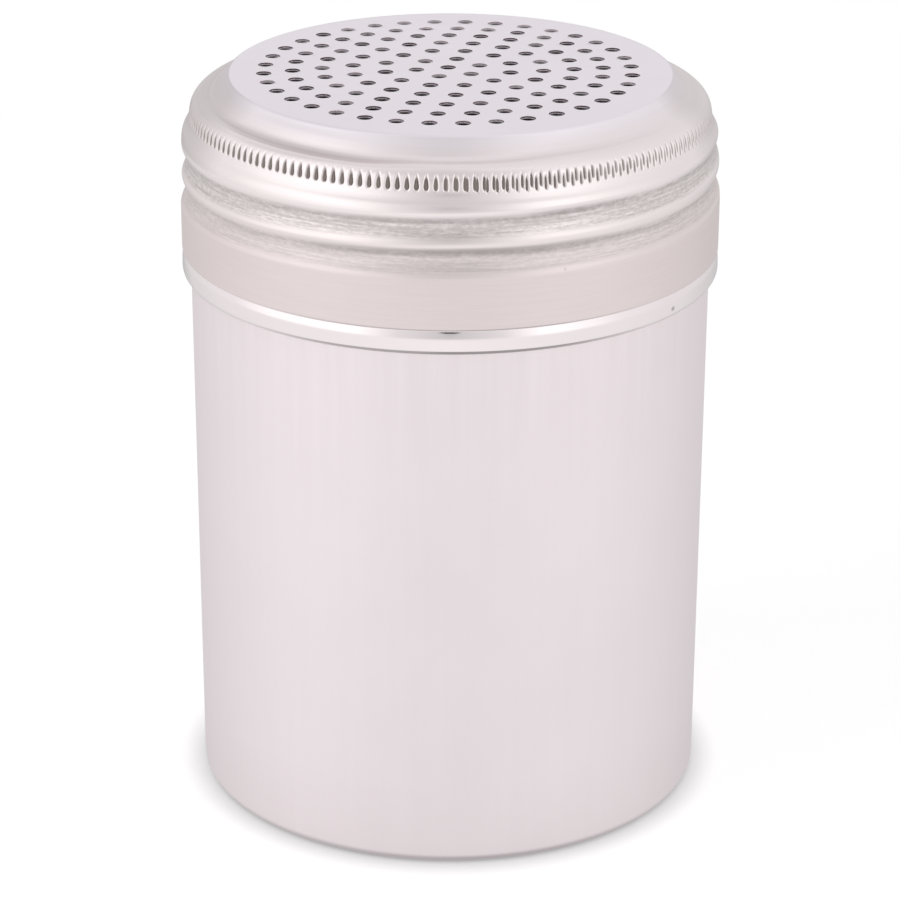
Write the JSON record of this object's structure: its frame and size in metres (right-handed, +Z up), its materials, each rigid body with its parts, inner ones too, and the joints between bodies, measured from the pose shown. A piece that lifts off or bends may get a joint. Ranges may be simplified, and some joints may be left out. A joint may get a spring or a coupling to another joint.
{
  "type": "spice shaker",
  "caption": "Stainless steel shaker: a deep-drawn cup and a one-piece screw lid with a perforated top, a knurled shoulder and a rolled thread.",
  "frame": {"origin": "centre of the ring that the cup stands on, on the table", "axes": "+Z up along the axis of the cup and of the screw; -Y is the side that faces the reader, +X to its right"},
  "size_m": [0.0698, 0.0698, 0.0972],
  "materials": {
    "cup_steel": "satin stainless steel with faint upright draw lines",
    "lid_steel": "satin stainless steel, polished on the hem and the band, spun marks in the thread",
    "seal_silicone": "matt food-grade silicone"
  },
  "bodies": {
    "cup_body": {"cup": "cup_steel"},
    "ring_body": {"seal_ring": "seal_silicone"},
    "lid_body": {"lid": "lid_steel"}
  },
  "joints": [
    {"name": "lid_rise", "type": "slide", "parent": "cup_body", "child": "ring_body", "axis": [0, 0, 1], "range_m": [0, 0.0074]},
    {"name": "lid_turn", "type": "hinge", "parent": "ring_body", "child": "lid_body", "pos_m": [0, 0, 0.091], "axis": [0, 0, 1], "range_deg": [0, 630]}
  ],
  "couplings": [
    {"joint": "lid_rise", "follows": "lid_turn", "m_per_rad": 0.00066845}
  ]
}
